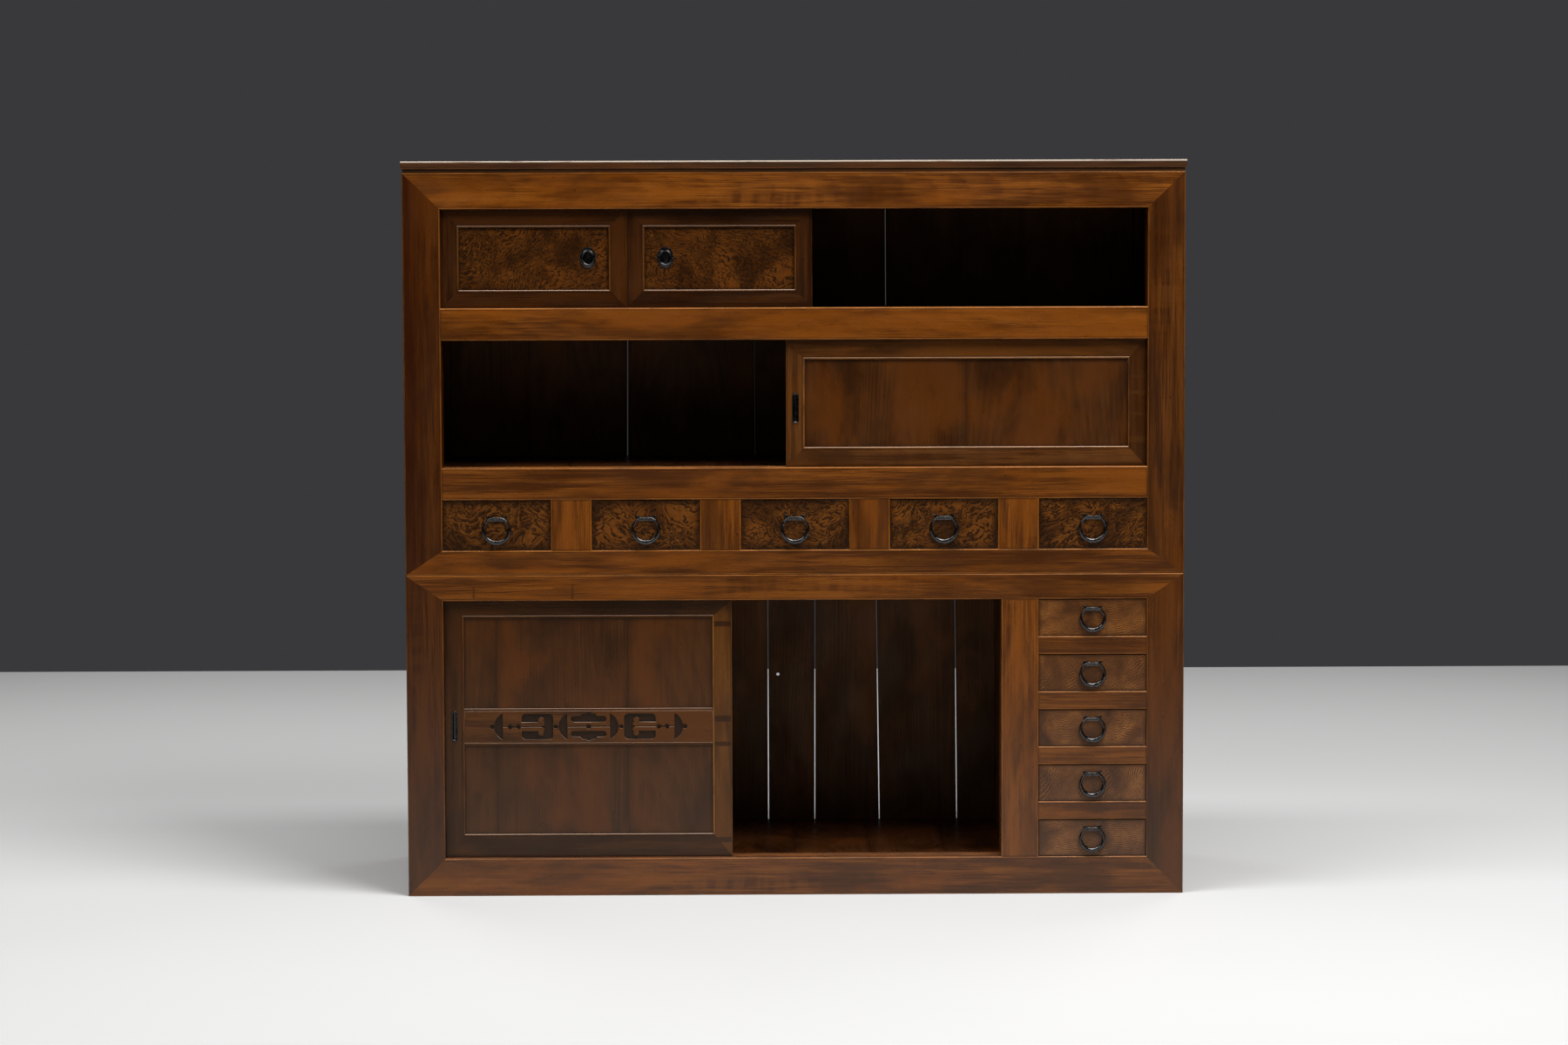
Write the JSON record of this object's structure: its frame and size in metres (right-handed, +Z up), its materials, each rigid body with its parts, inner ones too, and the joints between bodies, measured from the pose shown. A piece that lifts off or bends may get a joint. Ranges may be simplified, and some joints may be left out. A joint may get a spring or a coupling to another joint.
{
  "type": "kitchen cabinet",
  "caption": "Kitchen cabinet in two stacked wooden cases, with sliding doors on grooved rails, drawers with iron ring pulls and pierced carved rails.",
  "frame": {"origin": "on the floor, under the middle of the overall box of the cabinet", "axes": "+Z up, +X to the right seen from the front, +Y to the back, so the doors and drawers face -Y"},
  "size_m": [1.774, 0.6134, 1.672],
  "materials": {
    "case_wood": "rubbed lacquer over straight grain",
    "inner_wood": "bare aged softwood",
    "door_frame_wood": "dark rubbed lacquer",
    "door_panel_wood": "thin lacquer over cedar boards",
    "burl_wood": "rubbed lacquer over burl",
    "drawer_wood": "rubbed lacquer on the front, bare wood behind",
    "iron": "black wrought iron"
  },
  "bodies": {
    "case": {"top_board": "case_wood", "upper_posts": "case_wood", "upper_front_rails": "case_wood", "upper_side_walls": "case_wood", "upper_back_boards": "inner_wood", "upper_shelves": "inner_wood", "upper_drawer_dividers": "case_wood", "lower_posts": "case_wood", "lower_front_rails": "case_wood", "lower_side_walls": "case_wood", "lower_back_boards": "inner_wood", "lower_floor_boards": "inner_wood", "lower_partition": "case_wood", "lower_drawer_rails": "case_wood"},
    "small_door_a": {"small_door_a_frame": "door_frame_wood", "small_door_a_panel": "burl_wood", "small_door_a_pull": "iron"},
    "small_door_b": {"small_door_b_frame": "door_frame_wood", "small_door_b_panel": "burl_wood", "small_door_b_pull": "iron"},
    "small_door_c": {"small_door_c_frame": "door_frame_wood", "small_door_c_panel": "burl_wood", "small_door_c_pull": "iron"},
    "small_door_d": {"small_door_d_frame": "door_frame_wood", "small_door_d_panel": "burl_wood", "small_door_d_pull": "iron"},
    "middle_door_front": {"middle_door_front_frame": "door_frame_wood", "middle_door_front_panel": "door_panel_wood", "middle_door_front_pull": "iron"},
    "middle_door_rear": {"middle_door_rear_frame": "door_frame_wood", "middle_door_rear_panel": "door_panel_wood", "middle_door_rear_pull": "iron"},
    "large_door_front": {"large_door_front_frame": "door_frame_wood", "large_door_front_panel": "door_panel_wood", "large_door_front_carved_rail": "door_frame_wood", "large_door_front_pull": "iron"},
    "large_door_rear": {"large_door_rear_frame": "door_frame_wood", "large_door_rear_panel": "door_panel_wood", "large_door_rear_carved_rail": "door_frame_wood", "large_door_rear_pull": "iron"},
    "upper_drawer_1": {"upper_drawer_1": "drawer_wood"},
    "upper_ring_1": {"upper_ring_1": "iron"},
    "upper_drawer_2": {"upper_drawer_2": "drawer_wood"},
    "upper_ring_2": {"upper_ring_2": "iron"},
    "upper_drawer_3": {"upper_drawer_3": "drawer_wood"},
    "upper_ring_3": {"upper_ring_3": "iron"},
    "upper_drawer_4": {"upper_drawer_4": "drawer_wood"},
    "upper_ring_4": {"upper_ring_4": "iron"},
    "upper_drawer_5": {"upper_drawer_5": "drawer_wood"},
    "upper_ring_5": {"upper_ring_5": "iron"},
    "lower_drawer_1": {"lower_drawer_1": "drawer_wood"},
    "lower_ring_1": {"lower_ring_1": "iron"},
    "lower_drawer_2": {"lower_drawer_2": "drawer_wood"},
    "lower_ring_2": {"lower_ring_2": "iron"},
    "lower_drawer_3": {"lower_drawer_3": "drawer_wood"},
    "lower_ring_3": {"lower_ring_3": "iron"},
    "lower_drawer_4": {"lower_drawer_4": "drawer_wood"},
    "lower_ring_4": {"lower_ring_4": "iron"},
    "lower_drawer_5": {"lower_drawer_5": "drawer_wood"},
    "lower_ring_5": {"lower_ring_5": "iron"}
  },
  "joints": [
    {"name": "small_door_a_slide", "type": "slide", "parent": "case", "child": "small_door_a", "axis": [1, 0, 0], "range_m": [0, 0.379]},
    {"name": "small_door_b_slide", "type": "slide", "parent": "small_door_a", "child": "small_door_b", "axis": [1, 0, 0], "range_m": [0, 0.379]},
    {"name": "small_door_c_slide", "type": "slide", "parent": "case", "child": "small_door_c", "axis": [1, 0, 0], "range_m": [0, 0.379]},
    {"name": "small_door_d_slide", "type": "slide", "parent": "small_door_c", "child": "small_door_d", "axis": [1, 0, 0], "range_m": [0, 0.379]},
    {"name": "middle_door_front_slide", "type": "slide", "parent": "case", "child": "middle_door_front", "axis": [1, 0, 0], "range_m": [-0.78, 0]},
    {"name": "middle_door_rear_slide", "type": "slide", "parent": "case", "child": "middle_door_rear", "axis": [1, 0, 0], "range_m": [-0.78, 0]},
    {"name": "large_door_front_slide", "type": "slide", "parent": "case", "child": "large_door_front", "axis": [1, 0, 0], "range_m": [0, 0.614]},
    {"name": "large_door_rear_slide", "type": "slide", "parent": "case", "child": "large_door_rear", "axis": [1, 0, 0], "range_m": [0, 0.614]},
    {"name": "upper_drawer_1_slide", "type": "slide", "parent": "case", "child": "upper_drawer_1", "axis": [0, -1, 0], "range_m": [0, 0.42]},
    {"name": "upper_ring_1_hinge", "type": "hinge", "parent": "upper_drawer_1", "child": "upper_ring_1", "pos_m": [-0.6772, -0.30235, 0.8645], "axis": [-1, 0, 0], "range_deg": [0, 110]},
    {"name": "upper_drawer_2_slide", "type": "slide", "parent": "case", "child": "upper_drawer_2", "axis": [0, -1, 0], "range_m": [0, 0.42]},
    {"name": "upper_ring_2_hinge", "type": "hinge", "parent": "upper_drawer_2", "child": "upper_ring_2", "pos_m": [-0.3386, -0.30235, 0.8645], "axis": [-1, 0, 0], "range_deg": [0, 110]},
    {"name": "upper_drawer_3_slide", "type": "slide", "parent": "case", "child": "upper_drawer_3", "axis": [0, -1, 0], "range_m": [0, 0.42]},
    {"name": "upper_ring_3_hinge", "type": "hinge", "parent": "upper_drawer_3", "child": "upper_ring_3", "pos_m": [0, -0.30235, 0.8645], "axis": [-1, 0, 0], "range_deg": [0, 110]},
    {"name": "upper_drawer_4_slide", "type": "slide", "parent": "case", "child": "upper_drawer_4", "axis": [0, -1, 0], "range_m": [0, 0.42]},
    {"name": "upper_ring_4_hinge", "type": "hinge", "parent": "upper_drawer_4", "child": "upper_ring_4", "pos_m": [0.3386, -0.30235, 0.8645], "axis": [-1, 0, 0], "range_deg": [0, 110]},
    {"name": "upper_drawer_5_slide", "type": "slide", "parent": "case", "child": "upper_drawer_5", "axis": [0, -1, 0], "range_m": [0, 0.42]},
    {"name": "upper_ring_5_hinge", "type": "hinge", "parent": "upper_drawer_5", "child": "upper_ring_5", "pos_m": [0.6772, -0.30235, 0.8645], "axis": [-1, 0, 0], "range_deg": [0, 110]},
    {"name": "lower_drawer_1_slide", "type": "slide", "parent": "case", "child": "lower_drawer_1", "axis": [0, -1, 0], "range_m": [0, 0.42]},
    {"name": "lower_ring_1_hinge", "type": "hinge", "parent": "lower_drawer_1", "child": "lower_ring_1", "pos_m": [0.6772, -0.30235, 0.15], "axis": [-1, 0, 0], "range_deg": [0, 110]},
    {"name": "lower_drawer_2_slide", "type": "slide", "parent": "case", "child": "lower_drawer_2", "axis": [0, -1, 0], "range_m": [0, 0.42]},
    {"name": "lower_ring_2_hinge", "type": "hinge", "parent": "lower_drawer_2", "child": "lower_ring_2", "pos_m": [0.6772, -0.30235, 0.27636], "axis": [-1, 0, 0], "range_deg": [0, 110]},
    {"name": "lower_drawer_3_slide", "type": "slide", "parent": "case", "child": "lower_drawer_3", "axis": [0, -1, 0], "range_m": [0, 0.42]},
    {"name": "lower_ring_3_hinge", "type": "hinge", "parent": "lower_drawer_3", "child": "lower_ring_3", "pos_m": [0.6772, -0.30235, 0.40272], "axis": [-1, 0, 0], "range_deg": [0, 110]},
    {"name": "lower_drawer_4_slide", "type": "slide", "parent": "case", "child": "lower_drawer_4", "axis": [0, -1, 0], "range_m": [0, 0.42]},
    {"name": "lower_ring_4_hinge", "type": "hinge", "parent": "lower_drawer_4", "child": "lower_ring_4", "pos_m": [0.6772, -0.30235, 0.52908], "axis": [-1, 0, 0], "range_deg": [0, 110]},
    {"name": "lower_drawer_5_slide", "type": "slide", "parent": "case", "child": "lower_drawer_5", "axis": [0, -1, 0], "range_m": [0, 0.42]},
    {"name": "lower_ring_5_hinge", "type": "hinge", "parent": "lower_drawer_5", "child": "lower_ring_5", "pos_m": [0.6772, -0.30235, 0.65544], "axis": [-1, 0, 0], "range_deg": [0, 110]}
  ]
}
